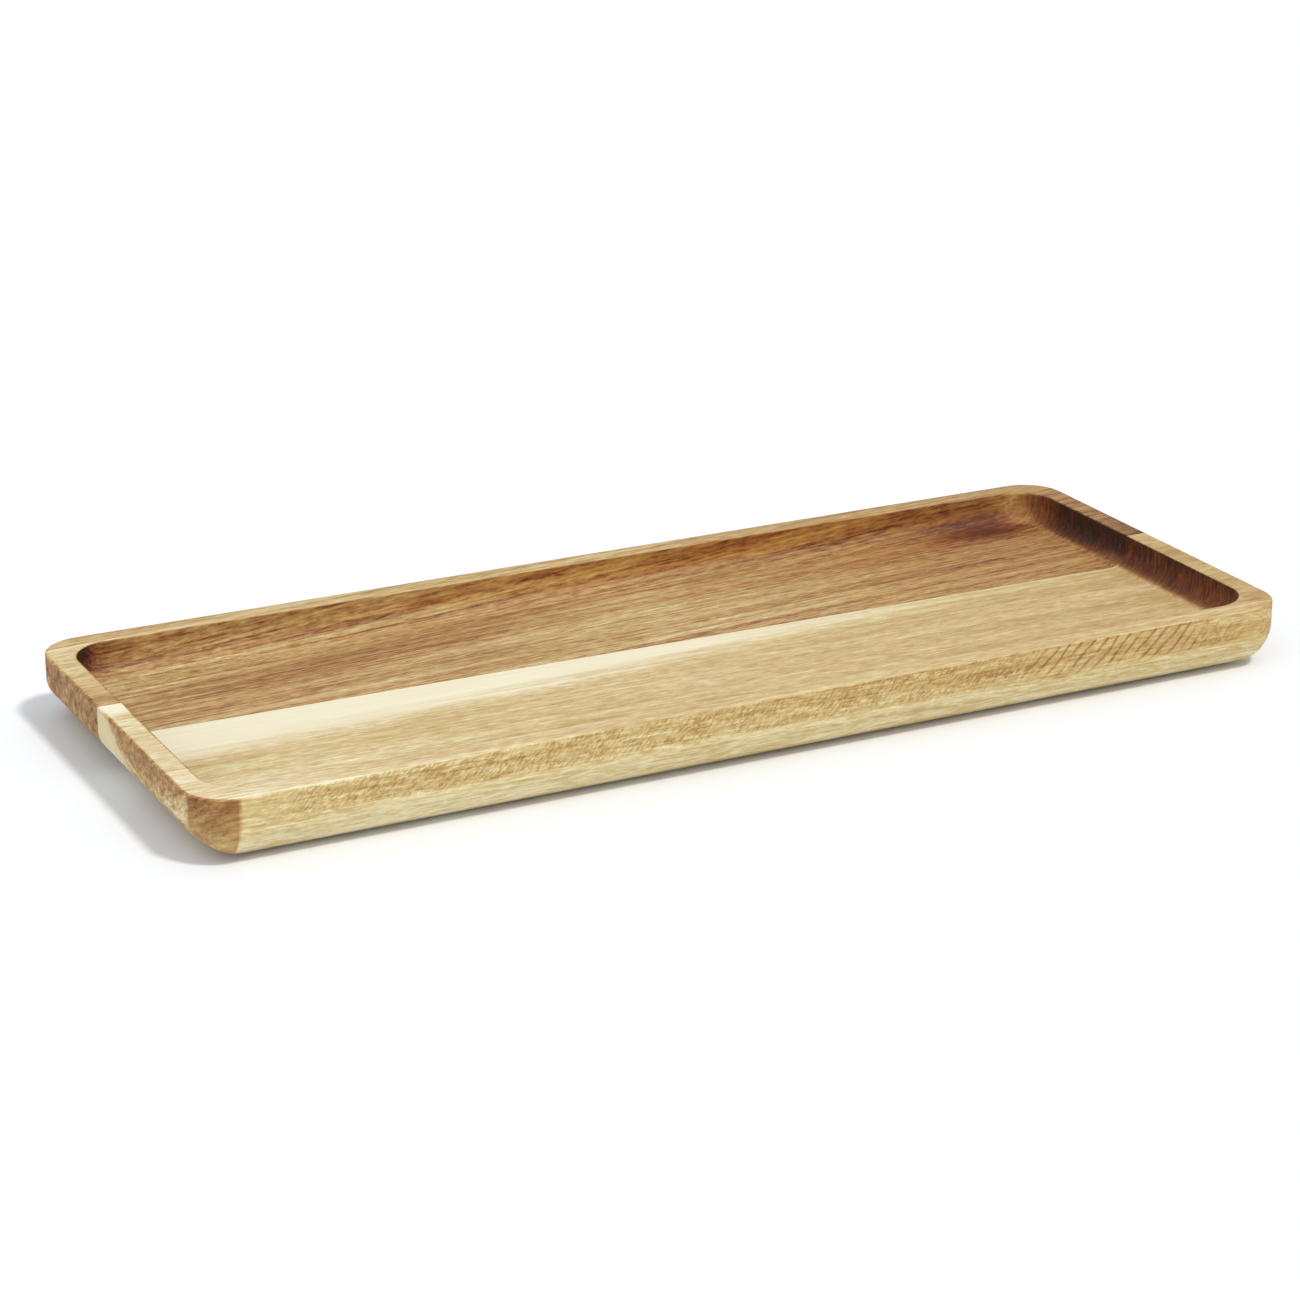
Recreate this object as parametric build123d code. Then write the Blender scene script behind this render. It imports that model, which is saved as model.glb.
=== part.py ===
from build123d import *
import os

# A long, shallow serving tray milled from one glued-up wooden panel.
# Two boards are butt-jointed edge to edge along the length, then the well, the rounded corners
# and the rounded underside are cut through both of them together.
#
# Frame: X along the length, Y across with the darker board at +Y, Z up.
# Origin: the centre of the flat underside, on the table.

# Driving dimensions, in millimetres
length = 350
width = 140
height = 20
corner_radius = 13

# The underside curves up all round, and flatter at the ends, where fingers reach under
underside_radius = 12.5
grip_reach = 25
grip_height = 12.5

# The well
rim_width = 7.4
well_depth = 10
well_corner_radius = 13
well_floor_radius = 6

# Sanded edges of the rim
outer_ease = 0.7
inner_ease = 0.5

# The glue joint runs a little behind the centre line, not quite square to the ends
joint_y_left = 11.5
joint_y_right = 6.7
glue_thickness = 0.15

# Levels and lengths that follow from them
floor_height = height - well_depth
well_length = length - 2 * rim_width
well_width = width - 2 * rim_width


def edges_at_height(solid, z):
    """The edges that lie wholly at height z."""
    return solid.edges().filter_by_position(Axis.Z, z, z)


def top_face(solid):
    return solid.faces().sort_by(Axis.Z)[-1]


def panel_blank():
    """The outside of the tray: rounded corners in plan, and the underside rounded up on all sides."""
    blank = extrude(RectangleRounded(length, width, corner_radius), height)
    return fillet(edges_at_height(blank, 0), underside_radius)


def grip_waste():
    """What is cut away under the right-hand end, below an elliptical curve from table to end wall."""
    quadrant = Pos(grip_reach, -grip_height) * Rectangle(2 * grip_reach, 2 * grip_height)
    section = quadrant - Ellipse(grip_reach, grip_height)
    centre = Pos(length / 2 - grip_reach, grip_height)
    return extrude(Plane.XZ * centre * section, width, both=True)


def well():
    """The hollow, with straight walls that run into the floor with a radius."""
    outline = RectangleRounded(well_length, well_width, well_corner_radius)
    hollow = Pos(0, 0, floor_height) * extrude(outline, well_depth)
    return fillet(edges_at_height(hollow, floor_height), well_floor_radius)


def milled_panel():
    """The whole tray as one shape, not yet told apart into its boards."""
    panel = panel_blank() - grip_waste() - mirror(grip_waste(), Plane.YZ)
    panel = fillet(top_face(panel).edges(), outer_ease)
    panel -= well()
    return fillet(top_face(panel).inner_wires().edges(), inner_ease)


def joint_slab(y_from, y_to):
    """A block that follows the skewed glue joint, between two distances measured from its middle."""
    joint = Line((-length / 2, joint_y_left), (length / 2, joint_y_right))
    block = Pos(0, (y_from + y_to) / 2, height / 2) * Box(2 * length, y_to - y_from, 2 * height)
    return Pos(joint @ 0.5) * Rot(0, 0, joint.tangent_angle_at(0.5)) * block


os.makedirs("parts", exist_ok=True)
panel = milled_panel()
half_glue = glue_thickness / 2
nodes = {
    "rear_stave": panel & joint_slab(half_glue, width),
    "front_stave": panel & joint_slab(-width, -half_glue),
    "glue_line": panel & joint_slab(-half_glue, half_glue),
}
for name, shape in nodes.items():
    export_step(shape, f"parts/{name}.step")
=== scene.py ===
import math

import bmesh
import bpy
from mathutils import Matrix, Vector


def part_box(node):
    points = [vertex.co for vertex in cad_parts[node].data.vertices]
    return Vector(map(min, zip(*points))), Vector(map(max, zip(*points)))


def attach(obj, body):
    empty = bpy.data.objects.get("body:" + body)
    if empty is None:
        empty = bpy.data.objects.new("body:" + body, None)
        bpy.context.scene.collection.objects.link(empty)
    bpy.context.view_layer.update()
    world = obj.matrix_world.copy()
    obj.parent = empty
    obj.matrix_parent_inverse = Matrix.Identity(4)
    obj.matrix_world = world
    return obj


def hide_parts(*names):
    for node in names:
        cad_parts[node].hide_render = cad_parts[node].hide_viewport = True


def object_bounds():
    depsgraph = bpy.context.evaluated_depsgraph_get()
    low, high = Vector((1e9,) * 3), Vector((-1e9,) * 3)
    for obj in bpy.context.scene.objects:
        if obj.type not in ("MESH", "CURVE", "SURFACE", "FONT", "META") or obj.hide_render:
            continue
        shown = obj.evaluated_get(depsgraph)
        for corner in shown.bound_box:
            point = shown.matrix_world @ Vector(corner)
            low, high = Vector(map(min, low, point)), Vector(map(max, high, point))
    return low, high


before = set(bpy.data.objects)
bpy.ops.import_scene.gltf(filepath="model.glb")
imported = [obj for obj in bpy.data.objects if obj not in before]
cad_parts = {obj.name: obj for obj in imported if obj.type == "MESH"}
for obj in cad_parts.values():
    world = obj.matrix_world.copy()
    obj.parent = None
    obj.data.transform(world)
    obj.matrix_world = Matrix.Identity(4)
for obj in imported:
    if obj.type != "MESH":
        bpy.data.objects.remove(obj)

CAD_BOX = [list(corner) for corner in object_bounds()]
LOW, HIGH = (Vector(corner) for corner in CAD_BOX)
MM = 0.001

# ---------------------------------------------------------------- the tray's shape, in metres
# The outside comes from the frame's box, and the radii repeat the CAD model's.
HALF_LENGTH = (HIGH.x - LOW.x) / 2
HALF_WIDTH = (HIGH.y - LOW.y) / 2
HEIGHT = HIGH.z
CORNER_RADIUS = 13 * MM
UNDERSIDE_RADIUS = 12.5 * MM
GRIP_REACH = 25 * MM
RIM_WIDTH = 7.4 * MM
WELL_DEPTH = 10 * MM
WELL_CORNER_RADIUS = 13 * MM
WELL_FLOOR_RADIUS = 6 * MM
OUTER_EASE = 0.7 * MM
INNER_EASE = 0.5 * MM
FLOOR_HEIGHT = HEIGHT - WELL_DEPTH

# The glue film's box gives the skewed joint: far back at the left end, nearer at the right.
GLUE_THICKNESS = 0.15 * MM
GLUE_LOW, GLUE_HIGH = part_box("glue_line")
JOINT_LEFT = GLUE_HIGH[1] - GLUE_THICKNESS / 2
JOINT_RIGHT = GLUE_LOW[1] + GLUE_THICKNESS / 2
GLUE_SINK = 0.03 * MM

# How finely the surface is divided
END_STEPS = 18
ARC_STEPS = 14
SIDE_STEPS = 96
EASE_STEPS = 5
ROUND_STEPS = 14
WALL_STEPS = 4
RIM_SHARES = (0.12, 0.5, 0.88, 1)
SMALLEST_CORNER = 1.5 * MM
# Edges sharper than this, in degrees, aren't shaded smooth
BOARD_CREASE = 50
GLUE_CREASE = 30


def between(start, end, steps, skip_first=True):
    """Evenly spaced values from start to end."""
    first = 1 if skip_first else 0
    return [start + (end - start) * i / steps for i in range(first, steps + 1)]


def joint_y(x):
    """Where the middle of the glue joint is at x."""
    share = (x + HALF_LENGTH) / (2 * HALF_LENGTH)
    return JOINT_LEFT + (JOINT_RIGHT - JOINT_LEFT) * share


def half_outline(half_x, half_y, radius, side, joint_gap):
    """Plan points of half a rounded rectangle, from the joint at the left end round to the right end."""
    inner_x, inner_y = half_x - radius, half_y - radius
    left_joint = joint_y(-half_x) + side * joint_gap
    right_joint = joint_y(half_x) + side * joint_gap
    points = [(-half_x, y) for y in between(left_joint, side * inner_y, END_STEPS, skip_first=False)]
    for turn in between(0, math.pi / 2, ARC_STEPS):
        points.append((-inner_x - radius * math.cos(turn), side * (inner_y + radius * math.sin(turn))))
    points += [(x, side * half_y) for x in between(-inner_x, inner_x, SIDE_STEPS)]
    for turn in between(math.pi / 2, 0, ARC_STEPS):
        points.append((inner_x + radius * math.cos(turn), side * (inner_y + radius * math.sin(turn))))
    points += [(half_x, y) for y in between(side * inner_y, right_joint, END_STEPS)]
    return points


def underside_levels():
    """Outlines from the table up to where the outer wall stands upright."""
    levels = []
    centre_x = HALF_LENGTH - CORNER_RADIUS
    for turn in between(0, math.pi / 2, ROUND_STEPS, skip_first=False):
        half_x = HALF_LENGTH - GRIP_REACH * (1 - math.sin(turn))
        side_inset = UNDERSIDE_RADIUS * (1 - math.sin(turn))
        corner_left = CORNER_RADIUS - side_inset
        past_centre = max(half_x - centre_x, 0)
        # The plan corner that touches both walls and the rounded corner that they cut
        radius = (math.hypot(past_centre, corner_left) - corner_left) / (math.sqrt(2) - 1)
        height = UNDERSIDE_RADIUS * (1 - math.cos(turn))
        levels.append((half_x, HALF_WIDTH - side_inset, max(radius, SMALLEST_CORNER), height))
    return levels


def upper_levels():
    """Outlines from the top of the rounding, over the rim and down the well's wall to its floor."""
    levels = []

    def add(inset, radius, height):
        levels.append((HALF_LENGTH - inset, HALF_WIDTH - inset, radius, height))

    for height in between(UNDERSIDE_RADIUS, HEIGHT - OUTER_EASE, WALL_STEPS):
        add(0, CORNER_RADIUS, height)
    for turn in between(0, math.pi / 2, EASE_STEPS):
        inset = OUTER_EASE * (1 - math.cos(turn))
        add(inset, CORNER_RADIUS - inset, HEIGHT - OUTER_EASE * (1 - math.sin(turn)))
    rim_inner_radius = WELL_CORNER_RADIUS + INNER_EASE
    for share in RIM_SHARES:
        inset = OUTER_EASE + (RIM_WIDTH - INNER_EASE - OUTER_EASE) * share
        radius = CORNER_RADIUS - OUTER_EASE + (rim_inner_radius - CORNER_RADIUS + OUTER_EASE) * share
        add(inset, radius, HEIGHT)
    for turn in between(0, math.pi / 2, EASE_STEPS):
        step = INNER_EASE * math.sin(turn)
        height = HEIGHT - INNER_EASE * (1 - math.cos(turn))
        add(RIM_WIDTH - INNER_EASE + step, rim_inner_radius - step, height)
    for height in between(HEIGHT - INNER_EASE, FLOOR_HEIGHT + WELL_FLOOR_RADIUS, WALL_STEPS):
        add(RIM_WIDTH, WELL_CORNER_RADIUS, height)
    for turn in between(0, math.pi / 2, ROUND_STEPS):
        step = WELL_FLOOR_RADIUS * (1 - math.cos(turn))
        height = FLOOR_HEIGHT + WELL_FLOOR_RADIUS * (1 - math.sin(turn))
        add(RIM_WIDTH + step, WELL_CORNER_RADIUS - step, height)
    return levels


def add_quads(bm, first_row, second_row):
    """Joins two rows of vertices with quads."""
    for a, b, c, d in zip(first_row, first_row[1:], second_row[1:], second_row):
        bm.faces.new((a, b, c, d))


def add_patch(bm, ring, side, joint_gap, height):
    """Fills the flat area between a ring and the glue joint with quads, and returns the row at the joint."""
    rows = END_STEPS + ARC_STEPS // 2
    left, right = ring[: rows + 1], ring[::-1][: rows + 1]
    far = ring[rows: len(ring) - rows]
    columns = len(far) - 1
    near = []
    for i in range(columns + 1):
        x = left[0].co.x + (right[0].co.x - left[0].co.x) * i / columns
        near.append(Vector((x, joint_y(x) + side * joint_gap, height)))
    near_left, near_right, far_left, far_right = near[0], near[-1], far[0].co, far[-1].co
    grid = [[left[0]] + [bm.verts.new(point) for point in near[1:-1]] + [right[0]]]
    for j in range(1, rows):
        v = j / rows
        row = [left[j]]
        for i in range(1, columns):
            u = i / columns
            across = left[j].co * (1 - u) + right[j].co * u
            along = near[i] * (1 - v) + far[i].co * v
            near_line = near_left * (1 - u) + near_right * u
            far_line = far_left * (1 - u) + far_right * u
            corners = near_line * (1 - v) + far_line * v
            row.append(bm.verts.new(across + along - corners))
        grid.append(row + [right[j]])
    grid.append(far)
    for lower, upper in zip(grid, grid[1:]):
        add_quads(bm, lower, upper)
    return grid[0]


def close_wall_section(bm, chain):
    """Fills the cut through one end wall, from its foot over the rim and down to the well's floor."""
    half = (len(chain) + 1) // 2
    outer, inner = chain[:half], chain[::-1][:half]
    if outer[-1] is inner[-1]:
        bm.faces.new((outer[-2], outer[-1], inner[-2]))
        outer, inner = outer[:-1], inner[:-1]
    add_quads(bm, outer, inner)


def new_object(name, bm, sharp_angle):
    """A mesh object from a bmesh, smooth but for edges sharper than the angle."""
    bmesh.ops.recalc_face_normals(bm, faces=bm.faces[:])
    mesh = bpy.data.meshes.new(name)
    bm.to_mesh(mesh)
    bm.free()
    mesh.polygons.foreach_set("use_smooth", [True] * len(mesh.polygons))
    mesh.set_sharp_from_angle(angle=math.radians(sharp_angle))
    piece = bpy.data.objects.new(name, mesh)
    bpy.context.scene.collection.objects.link(piece)
    return piece


def make_stave(name, side):
    """One board of the tray: side is 1 for the rear board and -1 for the front one."""
    bm = bmesh.new()
    gap = GLUE_THICKNESS / 2
    rings = []
    for half_x, half_y, radius, height in underside_levels() + upper_levels():
        outline = half_outline(half_x, half_y, radius, side, gap)
        rings.append([bm.verts.new((x, y, height)) for x, y in outline])
    for lower, upper in zip(rings, rings[1:]):
        add_quads(bm, lower, upper)
    underside_row = add_patch(bm, rings[0], side, gap, 0)
    floor_row = add_patch(bm, rings[-1], side, gap, FLOOR_HEIGHT)
    add_quads(bm, underside_row, floor_row)
    for end in (0, -1):
        close_wall_section(bm, [ring[end] for ring in rings])
    return new_object(name, bm, BOARD_CREASE)


def sunk_profile():
    """The wall's section at the joint as distances from the middle and heights, a hair below the surface."""
    levels = underside_levels() + upper_levels()
    profile = []
    for i, (half_x, _, _, height) in enumerate(levels):
        before, after = levels[max(i - 1, 0)], levels[min(i + 1, len(levels) - 1)]
        along = Vector((after[0] - before[0], after[3] - before[3])).normalized()
        profile.append((half_x - along.y * GLUE_SINK, height + along.x * GLUE_SINK))
    profile[0] = (profile[0][0], GLUE_SINK)
    profile[-1] = (profile[-1][0], FLOOR_HEIGHT - GLUE_SINK)
    return profile


def make_glue_film(name):
    """The cured glue between the boards, a hair below the surface all round."""
    bm = bmesh.new()
    profile = sunk_profile()
    chains = {}
    for side in (1, -1):
        for end in (1, -1):
            gap = side * GLUE_THICKNESS / 2
            points = [(end * x, joint_y(end * x) + gap, z) for x, z in profile]
            chains[side, end] = [bm.verts.new(point) for point in points]
            close_wall_section(bm, chains[side, end])
        foot_and_floor = [[chains[side, end][i] for i in (0, -1)] for end in (1, -1)]
        add_quads(bm, *foot_and_floor)
    for end in (1, -1):
        add_quads(bm, chains[1, end], chains[-1, end])
    for i in (0, -1):
        add_quads(bm, [chains[1, end][i] for end in (1, -1)], [chains[-1, end][i] for end in (1, -1)])
    return new_object(name, bm, GLUE_CREASE)


# ---------------------------------------------------------------- materials
def paint(red, green, blue):
    """A colour as seen on a screen, 0 to 255, turned into the linear values that shaders use."""
    def linear(value):
        value /= 255
        return value / 12.92 if value <= 0.04045 else ((value + 0.055) / 1.055) ** 2.4
    return (linear(red), linear(green), linear(blue), 1.0)


# From the darkest oiled end grain, through heartwood, to cream sapwood
WOOD_TONES = (
    (0.00, paint(44, 27, 18)),
    (0.14, paint(88, 48, 27)),
    (0.30, paint(126, 81, 45)),
    (0.45, paint(149, 109, 67)),
    (0.58, paint(167, 131, 84)),
    (0.70, paint(184, 156, 107)),
    (0.82, paint(201, 180, 134)),
    (1.00, paint(230, 221, 196)),
)

# Tints, which the wood's colour is multiplied by
PINKISH = paint(255, 247, 243)
GREENISH = paint(251, 250, 237)
GOLDEN_END = paint(255, 240, 205)
AMBER = paint(255, 232, 184)
WARM = paint(255, 249, 236)
REDDISH = paint(255, 240, 234)
STAINED = paint(255, 226, 196)
PALE_END = paint(255, 243, 230)
OUTER_FACE = paint(255, 250, 230)
CREAM = paint(254, 254, 252)
CREAM_END = paint(250, 240, 212)
OILED_END = paint(255, 222, 190)

# The glue's own colours
GLUE_DARK = paint(138, 104, 66)
GLUE_PALE = paint(166, 134, 90)
GLUE_SOAKED = paint(62, 38, 24)

# The distance from the pith at which lengths along the growth rings are measured
RING_RADIUS = 60 * MM

# The slanting strokes on the front face
STROKE_SPACING = 4.3 * MM
STROKE_LEAN = 1.0

# A pore's change to the tone, and how deep the relief of pores and fibres is
PORE_TONE = -0.11
RELIEF_DEPTH = 0.06 * MM

# The boards' tones before streaks and zones change them, the front one's in the middle of its length
REAR_BASE_TONE = 0.675
FRONT_BASE_TONE = 0.785

# How dark the rear board can be before oil and shade darken the ends and corners of its well
DARKEST_REAR_TONE = 0.16

# Soft spots on the rear board's part of the well: x, across the grain, their reach both ways and the
# change to the tone
REAR_ZONES = (
    (-80, 50, 60, 5.5, -0.18),
    (0, 53, 50, 3.5, -0.06),
    (-50, 26, 24, 8, -0.09),
    (10, 33, 70, 6, 0.04),
    (0, 13, 120, 5, 0.07),
    (140, 14, 28, 9, -0.06),
    (50, 18, 26, 8, 0.03),
    (148, 42, 14, 6, -0.19),
    (-135, 40, 45, 30, -0.04),
    (48, 51, 24, 3, -0.12),
)


class Nodes:
    """Short ways to add shader nodes to one material."""

    def __init__(self, name):
        self.material = bpy.data.materials.new(name)
        self.material.use_nodes = True
        self.tree = self.material.node_tree
        self.shader = self.tree.nodes["Principled BSDF"]

    def add(self, kind, inputs=(), **settings):
        node = self.tree.nodes.new(kind)
        for key, value in settings.items():
            setattr(node, key, value)
        for socket, value in dict(inputs).items():
            self.feed(node.inputs[socket], value)
        return node

    def feed(self, socket, value):
        if isinstance(value, bpy.types.NodeSocket):
            self.tree.links.new(value, socket)
        else:
            socket.default_value = value

    def math(self, operation, *values):
        node = self.add("ShaderNodeMath", operation=operation)
        for socket, value in zip(node.inputs, values):
            self.feed(socket, value)
        return node.outputs[0]

    def times(self, first, second):
        return self.math("MULTIPLY", first, second)

    def plus(self, first, second):
        return self.math("ADD", first, second)

    def product(self, first, *others):
        for other in others:
            first = self.times(first, other)
        return first

    def total(self, first, *others):
        for other in others:
            first = self.plus(first, other)
        return first

    def scaled(self, value, factor, offset=0.0):
        return self.math("MULTIPLY_ADD", value, factor, offset)

    def swing(self, noise, reach):
        """Noise of 0 to 1 turned into a change about zero."""
        return self.scaled(noise, reach, -reach / 2)

    def opposite(self, share, reach=1.0):
        """1 where the share is 0, and less by the reach where it is 1."""
        return self.scaled(share, -reach, 1.0)

    def ease(self, value, low, high):
        """0 below low, 1 above high and a smooth step between; low may be the larger."""
        node = self.add("ShaderNodeMapRange", interpolation_type="SMOOTHSTEP")
        ends = (low, high, 0.0, 1.0) if low < high else (high, low, 1.0, 0.0)
        self.feed(node.inputs[0], value)
        for socket, end in zip(node.inputs[1:5], ends):
            socket.default_value = end
        return node.outputs[0]

    def stretch(self, vector, x, y, z):
        """A vector multiplied along each axis; noise on it has about that many features in a metre."""
        node = self.add("ShaderNodeVectorMath", {0: vector, 1: (x, y, z)}, operation="MULTIPLY")
        return node.outputs[0]

    def noise(self, vector, detail=3.0, roughness=0.55, distortion=0.0):
        inputs = {
            "Vector": vector,
            "Scale": 1.0,
            "Detail": detail,
            "Roughness": roughness,
            "Distortion": distortion,
        }
        return self.add("ShaderNodeTexNoise", inputs).outputs[0]

    def blob(self, x, y, centre, size):
        """A soft spot: 1 at its centre, falling away over its size along each axis."""
        dx = self.scaled(x, 1 / size[0], -centre[0] / size[0])
        dy = self.scaled(y, 1 / size[1], -centre[1] / size[1])
        squares = self.plus(self.times(dx, dx), self.times(dy, dy))
        return self.math("EXPONENT", self.times(squares, -1.0))

    def mix_value(self, first, second, share):
        """A number between two others."""
        return self.plus(first, self.times(self.math("SUBTRACT", second, first), share))

    def mix(self, first, second, share, blend="MIX"):
        node = self.add("ShaderNodeMix", data_type="RGBA", blend_type=blend)
        for place, value in ((0, share), (6, first), (7, second)):
            self.feed(node.inputs[place], value)
        return node.outputs[2]

    def ramp(self, value, stops):
        node = self.add("ShaderNodeValToRGB", {0: value})
        elements = node.color_ramp.elements
        while len(elements) < len(stops):
            elements.new(0.5)
        for element, (place, colour) in zip(elements, stops):
            element.position = place
            element.color = colour
        return node.outputs[0]


class Wood(Nodes):
    """What both boards share: growth rings round a pith, fibres, pores, end grain and an oiled finish.

    A surface colour is a tone from 0, almost black, to 1, cream. Zones and streaks add to the tone.
    Its own methods take places and reaches in millimetres.
    """

    def __init__(self, name, seed, pith, slope):
        super().__init__(name)
        place = self.add("ShaderNodeTexCoord").outputs["Object"]
        self.x, self.y, self.z = self.add("ShaderNodeSeparateXYZ", {0: place}).outputs
        # The grain runs slightly askew to the board's length
        self.across = self.plus(self.y, self.times(self.x, -slope))
        out_y = self.scaled(self.across, 1.0, -pith[0] * MM)
        out_z = self.scaled(self.z, 1.0, -pith[1] * MM)
        self.radius = self.math("SQRT", self.plus(self.times(out_y, out_y), self.times(out_z, out_z)))
        turn = self.math("ARCTAN2", out_y, self.math("ABSOLUTE", out_z))
        ring_length = self.times(turn, RING_RADIUS)
        rings = self.add("ShaderNodeCombineXYZ", {0: self.x, 1: self.radius, 2: ring_length}).outputs[0]
        self.rings = self.shifted(rings, seed)
        self.place = self.shifted(place, seed)
        normal = self.add("ShaderNodeTexCoord").outputs["Normal"]
        facing = self.add("ShaderNodeSeparateXYZ", {0: normal}).outputs
        self.end_facing = self.math("ABSOLUTE", facing[0])
        self.side_facing = self.math("ABSOLUTE", facing[1])
        self.make_grain()
        self.make_regions()

    def shifted(self, vector, seed):
        offset = (seed, 1.7 * seed, 0.6 * seed)
        return self.add("ShaderNodeVectorMath", {0: vector, 1: offset}, operation="ADD").outputs[0]

    def features(self, vector, x, y, z, detail=3.0, roughness=0.55, distortion=0.0):
        """Noise with features of about these sizes."""
        stretched = self.stretch(vector, 1 / (x * MM), 1 / (y * MM), 1 / (z * MM))
        return self.noise(stretched, detail, roughness, distortion)

    def streaks(self, length, depth, width, **settings):
        """Noise drawn out along the grain, with its depth across the rings and width along them."""
        return self.features(self.rings, length, depth, width, **settings)

    def make_grain(self):
        """Streaks from broad to fine, the pores, and the marks of end grain."""
        self.broad = self.streaks(280, 5, 22, detail=2.0, distortion=0.3)
        self.middle = self.streaks(130, 1.7, 7, detail=4.0, roughness=0.62, distortion=0.35)
        self.fibres = self.streaks(28, 0.5, 0.8, detail=4.0, roughness=0.7)
        self.flecks = self.streaks(5, 0.75, 1.1, roughness=0.7)
        self.dashes = self.streaks(7, 0.3, 0.36, detail=1.0, roughness=0.4)
        self.mottle = self.noise(self.stretch(self.place, 130, 260, 260), detail=4.0, roughness=0.65)
        self.speckle = self.noise(self.stretch(self.place, 330, 600, 600), roughness=0.6)
        self.end_streaks = self.noise(self.stretch(self.place, 330, 1500, 210), roughness=0.65)

    def make_regions(self):
        """Masks that are 1 on a part of the tray and 0 elsewhere."""
        # The rim's flat top is outside the well, and so is the underside
        inner_x, inner_y = HALF_LENGTH - RIM_WIDTH, HALF_WIDTH - RIM_WIDTH
        inside_x = self.ease(self.math("ABSOLUTE", self.x), inner_x + 0.3 * MM, inner_x)
        inside_y = self.ease(self.math("ABSOLUTE", self.y), inner_y + 0.3 * MM, inner_y)
        below_top = self.ease(self.z, HEIGHT - 0.03 * MM, HEIGHT - 0.2 * MM)
        above_floor = self.ease(self.z, FLOOR_HEIGHT - 1 * MM, FLOOR_HEIGHT - 0.3 * MM)
        self.inside = self.product(inside_x, inside_y, above_floor, below_top)
        self.outside = self.opposite(self.inside)
        self.wall = self.times(self.inside, self.ease(self.z, FLOOR_HEIGHT, FLOOR_HEIGHT + 1 * MM))
        self.rim = self.times(self.ease(self.z, HEIGHT - 1.2 * MM, HEIGHT - 0.4 * MM), self.outside)
        # The eased edges along the rim, painted darker: painted shade over the highlight that the lamp puts
        # on their rounding
        self.shaded_rim_edges = self.times(self.ease(self.z, HEIGHT - 1.1 * MM, HEIGHT - 0.6 * MM), below_top)
        # The lower curve of the outside is painted paler: painted light, as if bounced up from the table
        self.bounce_lit_underside = self.times(self.outside, self.over_z(16, 5))
        self.end_share = self.ease(self.end_facing, 0.03, 0.12)

    def over_x(self, start, end):
        """0 at one x and 1 at another, with a smooth step between."""
        return self.ease(self.x, start * MM, end * MM)

    def over_y(self, start, end):
        return self.ease(self.y, start * MM, end * MM)

    def over_z(self, start, end):
        return self.ease(self.z, start * MM, end * MM)

    def spot(self, x, across, reach_x, reach_across):
        """A soft spot in plan, in the slanting coordinates of the grain."""
        return self.blob(self.x, self.across, (x * MM, across * MM), (reach_x * MM, reach_across * MM))

    def wall_spot(self, x, height, reach_x, reach_height):
        """A soft spot on a long wall."""
        return self.blob(self.x, self.z, (x * MM, height * MM), (reach_x * MM, reach_height * MM))

    def shade(self, tone, *changes):
        """The tone after changes, each an amount followed by the masks that it is multiplied by."""
        for amount, *masks in changes:
            tone = self.plus(tone, self.product(amount, *masks))
        return tone

    def grain_tone(self, broad, middle, fibres, flecks):
        """The streaks' change to the tone, with how far each kind goes."""
        kinds = (self.broad, self.middle, self.fibres, self.flecks)
        reaches = (broad, middle, fibres, flecks)
        return self.total(*(self.swing(streaks, reach) for streaks, reach in zip(kinds, reaches)))

    def hue_drift(self):
        """Slow changes between a pinkish and a greenish cast, in long streaks."""
        drift = self.streaks(160, 3, 10, detail=2.0)
        return self.ramp(drift, ((0.32, PINKISH), (0.68, GREENISH)))

    def face_marks(self):
        """Marks on the upper front face: fine flecks, and towards the right a row of slanting strokes."""
        lean = self.plus(self.x, self.times(self.z, -STROKE_LEAN))
        slanted = self.add("ShaderNodeCombineXYZ", {0: lean, 1: self.y, 2: self.z}).outputs[0]
        flecks = self.ease(self.features(slanted, 0.7, 20, 1.1, detail=2.0, roughness=0.6), 0.44, 0.58)
        flecks = self.times(flecks, self.scaled(self.ease(self.mottle, 0.36, 0.58), 0.6, 0.4))
        # The strokes come at uneven distances and break off here and there
        drift = self.noise(self.stretch(self.place, 1 / (12 * MM), 0, 1 / (30 * MM)), detail=1.0)
        wave = self.plus(self.times(lean, 2 * math.pi / STROKE_SPACING), self.scaled(drift, 7.0))
        broken = self.ease(self.features(slanted, 3, 20, 4, detail=2.0), 0.26, 0.5)
        strokes = self.times(self.ease(self.math("SINE", wave), 0.3, 0.95), broken)
        strokes = self.plus(self.times(strokes, 1.05), self.times(flecks, 0.5))
        stroke_share = self.times(self.over_x(76, 92), self.over_x(150, 136))
        marks = self.mix_value(flecks, strokes, stroke_share)
        # Their lower edge is ragged, and both ends of the face are free of them
        ragged = self.ease(self.plus(self.z, self.swing(self.middle, -6 * MM)), 9.5 * MM, 13 * MM)
        front = self.product(self.ease(self.side_facing, 0.5, 0.9), ragged, self.over_y(-60, -68))
        return self.product(front, self.over_x(-166, -140), self.over_x(172, 140), marks)

    def finish(self, tone, tint, pores):
        """Satin oiled surface: the pores stay a little open and the fibres stand a little proud."""
        tone = self.shade(tone, (PORE_TONE, pores))
        colour = self.mix(self.ramp(tone, WOOD_TONES), tint, 1.0, "MULTIPLY")
        self.feed(self.shader.inputs["Base Color"], colour)
        self.feed(self.shader.inputs["Roughness"], self.scaled(self.fibres, 0.24, 0.5))
        self.shader.inputs["Specular IOR Level"].default_value = 0.3
        relief = self.plus(self.times(self.plus(self.fibres, self.flecks), 0.5), self.times(pores, -1.0))
        bump = self.add("ShaderNodeBump", {"Height": relief, "Strength": 0.4, "Distance": RELIEF_DEPTH})
        self.feed(self.shader.inputs["Normal"], bump.outputs[0])
        return self.material


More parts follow.
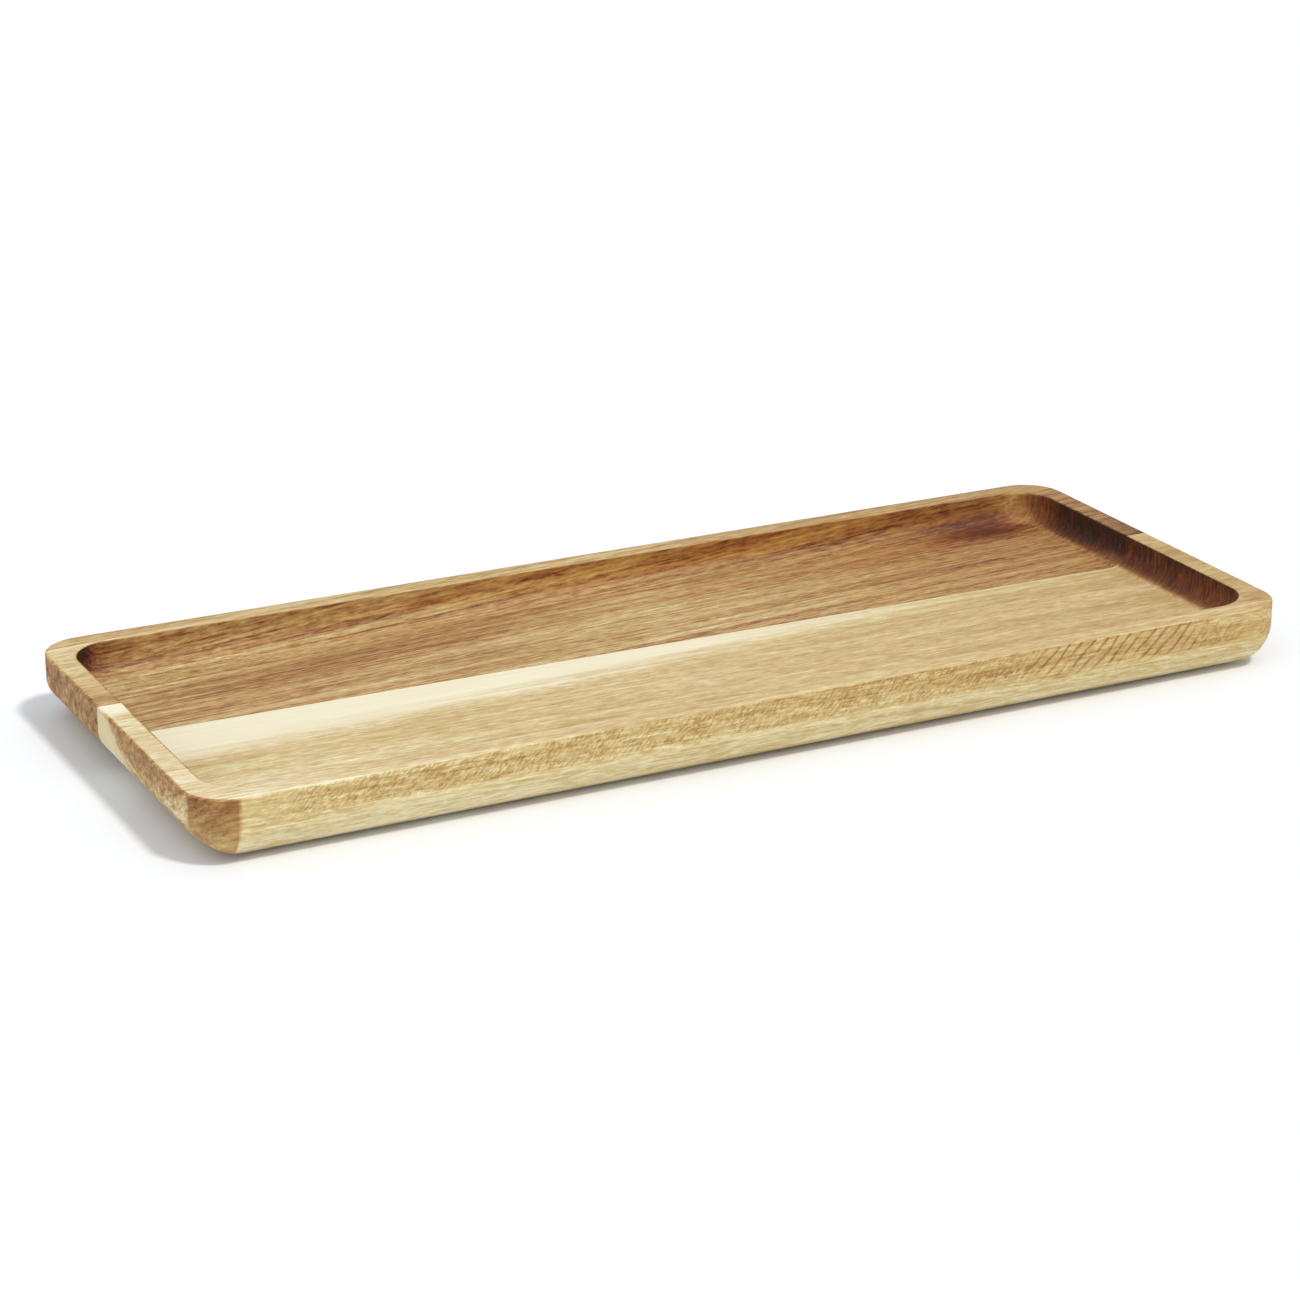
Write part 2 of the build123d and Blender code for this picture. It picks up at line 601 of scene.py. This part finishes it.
def heartwood_tone(wood):
    """The rear board's streaks, which are calmer outside the well, and its zones inside it."""
    calm = wood.times(wood.outside, wood.scaled(wood.end_share, 0.3, 0.25))
    grain = wood.times(wood.grain_tone(0.4, 1.1, 0.98, 1.1), wood.opposite(calm))
    # Pale streaks stand out less than dark ones
    pale_part = wood.math("MAXIMUM", grain, 0.0)
    dark_lines = wood.ease(wood.streaks(120, 0.8, 2.4, detail=2.0), 0.56, 0.68)
    zones = wood.total(*(wood.times(wood.spot(*place), change) for *place, change in REAR_ZONES))
    return wood.shade(
        wood.plus(grain, REAR_BASE_TONE),
        (-0.4, pale_part),
        (-0.09, dark_lines),
        (-0.12, wood.over_x(0, 150)),
        (zones, wood.inside),
    )


def rear_rim_change(wood):
    """The rim is paler, palest at the back left and stained at the right of the joint."""
    return wood.shade(
        0.06,
        (0.12, wood.spot(-171, 62, 14, 22)),
        (-0.14, wood.spot(-171, 30, 8, 8)),
        (-0.04, wood.over_x(60, 150)),
        (-0.12, wood.spot(173, 14, 9, 24)),
        (-0.16, wood.spot(173, 0, 9, 6)),
    )


def long_wall_changes(wood, stain):
    """The long wall is darker at its foot and under its top edge, and in two patches."""
    long_wall = wood.times(wood.wall, wood.side_facing)
    crest_change = wood.scaled(wood.spot(40, 57, 80, 30), -0.09, -0.05)
    return (
        (-0.13, long_wall, wood.over_z(15, 12), wood.opposite(stain)),
        (crest_change, long_wall, wood.over_z(15, 18.5)),
        (-0.11, long_wall, wood.wall_spot(50, 15, 32, 2.2)),
        (-0.12, long_wall, wood.wall_spot(136, 15.5, 20, 4)),
    )


def rear_end_change(wood):
    """End grain is darker and marked, most of all on the outside."""
    marks = wood.total(
        wood.scaled(wood.middle, 0.5, -0.38),
        wood.scaled(wood.mottle, 0.7, -0.36),
        wood.scaled(wood.speckle, 0.75, -0.385),
    )
    return (marks, wood.end_share, wood.opposite(wood.inside, 0.75))


def rear_oiled_tone(wood):
    """End grain inside the well is almost black with oil.

    It is less dark at the left end, at the foot near the joint and in the back right corner.
    """
    return wood.shade(
        wood.scaled(wood.z, -10.0, 0.19),
        (wood.swing(wood.mottle, 0.3),),
        (wood.swing(wood.end_streaks, 0.7),),
        (0.26, wood.over_z(14, 11.5), wood.opposite(wood.over_y(10, 30), 0.9)),
        (0.16, wood.over_x(10, -10)),
        (0.18, wood.spot(167, 42, 12, 8)),
    )


def rear_tint(wood, stain, well_end):
    """Golden on the outer ends, amber on the long wall, and redder where the wood is dark."""
    tint = wood.mix(wood.hue_drift(), GOLDEN_END, wood.product(wood.outside, wood.end_share, 0.6))
    amber = wood.product(wood.wall, wood.over_z(11.5, 14.5), wood.spot(50, 57, 150, 30))
    tint = wood.mix(tint, AMBER, amber)
    tint = wood.mix(tint, WARM, wood.times(wood.over_x(40, 110), wood.inside), "MULTIPLY")
    reddish = wood.times(wood.ease(wood.broad, 0.5, 0.3), wood.inside)
    tint = wood.mix(tint, REDDISH, reddish, "MULTIPLY")
    return wood.mix(tint, STAINED, wood.math("MAXIMUM", stain, well_end))


def rear_board_material():
    """Streaked brown heartwood."""
    wood = Wood("heartwood", seed=3.7, pith=(-25, -40), slope=0.07)
    # A thin dark line at the foot of the long wall, and a stain in the back right corner
    low = wood.over_z(17.5, 13)
    thin_line = wood.product(wood.spot(30, 54, 45, 0.7), wood.over_x(63, 61), low)
    stain_streaks = wood.ease(wood.plus(wood.middle, wood.fibres), 0.7, 1.05)
    stain = wood.product(wood.spot(144, 48, 21, 6), stain_streaks, low)
    # The back left of the well is mottled
    mottling = wood.scaled(wood.speckle, 0.6, -0.27)
    tone = wood.shade(
        heartwood_tone(wood),
        (-0.19, thin_line),
        (-0.361, stain),
        (rear_rim_change(wood), wood.rim),
        # Painted light on the lower curve of the outside
        (0.12, wood.bounce_lit_underside),
        *long_wall_changes(wood, stain),
        # Painted shade on the rim's eased edges
        (-0.06, wood.shaded_rim_edges),
        (mottling, wood.inside, wood.spot(-150, 62, 60, 16)),
        rear_end_change(wood),
    )
    tone = wood.math("MAXIMUM", tone, DARKEST_REAR_TONE)
    well_end = wood.times(wood.wall, wood.ease(wood.end_facing, 0.15, 0.85))
    tone = wood.mix_value(tone, rear_oiled_tone(wood), well_end)
    # The back left corner of the well gets painted shade, darkest under the rim's inner edge, and the back
    # right one has a pale patch
    tone = wood.shade(
        tone,
        (-0.16, wood.wall, wood.over_x(-142, -160), wood.over_z(15, 18.5)),
        (-0.14, wood.wall, wood.over_x(-147, -163)),
        (0.34, wood.wall, wood.spot(162, 49, 6, 6)),
    )
    pores = wood.ease(wood.dashes, 0.58, 0.7)
    return wood.finish(tone, rear_tint(wood, stain, well_end), pores)


def sapwood_regions(wood):
    """Where the front board is sapwood, and the part of it along the joint that is cream."""
    # The heartwood narrows towards the left end
    heart_edge = wood.scaled(wood.x, -0.037, -63 * MM)
    beyond_heart = wood.total(wood.radius, heart_edge, wood.swing(wood.middle, 6 * MM))
    sap = wood.ease(beyond_heart, -4 * MM, 3 * MM)
    return sap, wood.product(sap, wood.over_y(-24, -4), wood.over_x(220, -30))


def sapwood_tone(wood, sap, cream):
    """The front board's streaks and zones, with the cream band along the joint."""
    # It darkens slowly towards the right
    base = wood.scaled(wood.x, -0.3, FRONT_BASE_TONE)
    tone = wood.shade(
        wood.plus(wood.grain_tone(0.24, 0.32, 0.46, 0.55), base),
        (0.05, wood.spot(35, -36, 40, 6)),
        (-0.04, wood.spot(-85, -22, 22, 8)),
        (0.07, wood.spot(5, -20, 60, 8), wood.inside),
        (0.03, sap, wood.opposite(cream)),
    )
    cream_tone = wood.plus(wood.scaled(wood.middle, 0.1, 0.92), wood.swing(wood.fibres, 0.14))
    return wood.mix_value(tone, cream_tone, cream)


def front_surface_changes(wood, cream):
    """The rim's changes, and those of the long outer face, which has painted light on its lower curve,
    painted shade at its foot and marks above.
    """
    outer_face = wood.times(wood.outside, wood.ease(wood.side_facing, 0.5, 0.9))
    return (
        (wood.scaled(wood.middle, -0.3, 0.13), wood.rim, wood.spot(-172, -18, 9, 50)),
        (0.05, wood.rim, wood.over_x(80, -60)),
        (-0.05, wood.rim, wood.over_x(163, 168)),
        # Painted light on the lower curve of the outside, but not on the cream band
        (0.15, wood.bounce_lit_underside, wood.opposite(cream)),
        # Painted shade: the outside is darker in its lowest few millimetres, where it meets the table
        (-0.1, wood.outside, wood.over_z(5, 1.5)),
        (-0.21, wood.face_marks()),
        (-0.035, outer_face, wood.over_z(5, 9), wood.over_x(20, -90)),
        # Painted shade on the rim's eased edges
        (-0.06, wood.shaded_rim_edges),
    )


def front_left_corner(wood):
    """1 on the upright corner at the front left, which is brown all over."""
    plan = wood.times(wood.over_x(-163.1, -163.7), wood.over_y(-60.2, -61.4))
    return wood.times(plan, wood.ease(wood.z, HEIGHT - 0.2 * MM, HEIGHT - 0.8 * MM))


def front_end_tone(wood, sap, left, left_corner, flat_end):
    """End grain's change to the tone: darker, but not on the flat ends where it is sapwood."""
    marks = wood.times(wood.swing(wood.mottle, 0.6), wood.opposite(sap, 0.8))
    marks = wood.plus(marks, wood.scaled(wood.speckle, 0.75, -0.385))
    return wood.shade(
        wood.scaled(wood.middle, 0.4, -0.4),
        (marks, wood.opposite(left_corner, 0.65)),
        (0.2, sap, flat_end),
        (-0.09, left, wood.over_z(14, 19)),
        (wood.scaled(wood.over_z(6, 14), -0.07, -0.06), left_corner),
    )


def front_oiled_tone(wood):
    """End grain inside the well is dark with oil."""
    return wood.shade(
        wood.scaled(wood.z, -20.0, 0.445),
        (wood.swing(wood.mottle, 0.35),),
        (wood.swing(wood.end_streaks, 0.7),),
        (0.09, wood.over_y(-25, -45)),
    )


def front_board_material():
    """Pale yellow-tan wood round a pith above the board, with cream sapwood outside it."""
    wood = Wood("sapwood", seed=8.1, pith=(-30, 66), slope=-0.012)
    sap, cream = sapwood_regions(wood)
    not_cream = wood.opposite(cream)
    # End grain shows fully on the left half and less on the right, and the left corner counts as it
    left = wood.over_x(10, -10)
    left_corner = front_left_corner(wood)
    right_share = wood.scaled(wood.ease(wood.end_facing, 0.2, 1.0), 0.4)
    end_share = wood.math("MAXIMUM", wood.mix_value(right_share, wood.end_share, left), left_corner)
    flat_end = wood.times(wood.ease(wood.end_facing, 0.93, 0.99), wood.opposite(left_corner))
    end_tone = front_end_tone(wood, sap, left, left_corner, flat_end)
    tone = wood.shade(
        sapwood_tone(wood, sap, cream),
        *front_surface_changes(wood, cream),
        (end_tone, end_share, wood.opposite(cream, 0.9)),
    )
    well_end = wood.times(wood.wall, wood.ease(wood.end_facing, 0.15, 0.8))
    tone = wood.mix_value(tone, front_oiled_tone(wood), well_end)
    face_share = wood.product(wood.outside, wood.ease(wood.side_facing, 0.2, 0.9), not_cream)
    tint = wood.mix(wood.hue_drift(), PALE_END, wood.times(end_share, not_cream))
    tint = wood.mix(tint, OUTER_FACE, face_share)
    tint = wood.mix(tint, CREAM, cream)
    tint = wood.mix(tint, CREAM_END, wood.product(cream, flat_end, wood.outside, left))
    tint = wood.mix(tint, OILED_END, well_end)
    pores = wood.times(wood.ease(wood.dashes, 0.6, 0.72), wood.scaled(cream, -0.7, 0.8))
    return wood.finish(tone, tint, pores)


def glue_material():
    """Amber glue, faintly uneven along the joint and darkened where oil soaked the end wall."""
    nodes = Nodes("glue")
    place = nodes.add("ShaderNodeTexCoord").outputs["Object"]
    x, _, z = nodes.add("ShaderNodeSeparateXYZ", {0: place}).outputs
    beads = nodes.noise(nodes.stretch(place, 180, 900, 900), detail=2.0)
    colour = nodes.ramp(beads, ((0.3, GLUE_DARK), (0.7, GLUE_PALE)))
    in_well = nodes.ease(nodes.math("ABSOLUTE", x), 168.5 * MM, 167.8 * MM)
    soaked = nodes.times(in_well, nodes.ease(z, FLOOR_HEIGHT, FLOOR_HEIGHT + 3 * MM))
    nodes.feed(nodes.shader.inputs["Base Color"], nodes.mix(colour, GLUE_SOAKED, soaked))
    nodes.feed(nodes.shader.inputs["Roughness"], nodes.scaled(beads, 0.2, 0.3))
    return nodes.material


# ---------------------------------------------------------------- the pieces
def finish_piece(piece, node, material):
    """Gives a piece its material, and its place in the frame."""
    piece.data.materials.append(material)
    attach(piece, "root")
    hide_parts(node)


finish_piece(make_stave("rear_board", 1), "rear_stave", rear_board_material())
finish_piece(make_stave("front_board", -1), "front_stave", front_board_material())
finish_piece(make_glue_film("glue_film"), "glue_line", glue_material())


# ---------------------------------------------------------------- studio
# How far the paper goes from the middle, in metres
PAPER_REACH = 9.0
PAPER_COLOUR = (0.83, 0.835, 0.85, 1.0)
SKY_COLOUR = (0.9, 0.955, 1.0, 1.0)
SKY_STRENGTH = 0.79

# The catalogue view: from the left and in front, a little above, through a long lens. Angles are in
# degrees, the lens and its sensor in millimetres, and the camera's distances in metres.
CAMERA_AZIMUTH = -26.79
CAMERA_ELEVATION = 20.13
CAMERA_ROLL = -0.164
CAMERA_DISTANCE = 1.0583
CAMERA_SIDEWAYS = -0.00626
CAMERA_UPWARDS = 0.01067
LENS = 97.49
SENSOR = 36


def make_floor():
    """A plain pale sheet that fills the view."""
    bpy.ops.mesh.primitive_plane_add(size=2 * PAPER_REACH, location=(0, 0, 0))
    floor = bpy.context.active_object
    floor.name = "studio_floor"
    nodes = Nodes("studio_paper")
    nodes.shader.inputs["Base Color"].default_value = PAPER_COLOUR
    nodes.shader.inputs["Roughness"].default_value = 0.9
    nodes.shader.inputs["Specular IOR Level"].default_value = 0.1
    floor.data.materials.append(nodes.material)


def make_lamp(name, direction, spread, strength, colour):
    """A large soft lamp, far enough away to light the whole sheet evenly; its spread is in degrees."""
    data = bpy.data.lights.new(name, "SUN")
    data.angle = math.radians(spread)
    data.energy = strength
    data.color = colour
    light = bpy.data.objects.new(name, data)
    away = Vector(direction).normalized()
    light.location = away
    light.rotation_mode = "QUATERNION"
    light.rotation_quaternion = away.to_track_quat("Z", "Y")
    bpy.context.scene.collection.objects.link(light)


def make_sky():
    """Even light from all round."""
    world = bpy.data.worlds.new("studio_sky")
    world.use_nodes = True
    background = world.node_tree.nodes["Background"]
    background.inputs["Color"].default_value = SKY_COLOUR
    background.inputs["Strength"].default_value = SKY_STRENGTH
    bpy.context.scene.world = world


def make_camera():
    """Sets the camera up for the catalogue view."""
    azimuth = math.radians(CAMERA_AZIMUTH)
    elevation = math.radians(CAMERA_ELEVATION)
    roll = math.radians(CAMERA_ROLL)
    back = Vector((
        math.sin(azimuth) * math.cos(elevation),
        -math.cos(azimuth) * math.cos(elevation),
        math.sin(elevation),
    ))
    level = Vector((math.cos(azimuth), math.sin(azimuth), 0))
    rise = back.cross(level)
    right = level * math.cos(roll) + rise * math.sin(roll)
    up = rise * math.cos(roll) - level * math.sin(roll)
    data = bpy.data.cameras.new("catalogue_camera")
    data.sensor_width = SENSOR
    data.lens = LENS
    data.clip_start = 0.05
    data.clip_end = 60
    camera = bpy.data.objects.new("catalogue_camera", data)
    axes = Matrix((right, up, back)).transposed().to_4x4()
    place = back * CAMERA_DISTANCE + right * CAMERA_SIDEWAYS + up * CAMERA_UPWARDS
    camera.matrix_world = Matrix.Translation(place) @ axes
    bpy.context.scene.collection.objects.link(camera)
    bpy.context.scene.camera = camera


make_floor()
make_sky()
make_lamp("key", (0.33, -0.5, 1.0), spread=9, strength=1.72, colour=(1.0, 0.975, 0.935))
make_lamp("fill", (-1.0, -0.5, 0.7), spread=70, strength=0.4, colour=(0.93, 0.97, 1.0))
make_camera()
bpy.context.scene.view_settings.view_transform = "Standard"
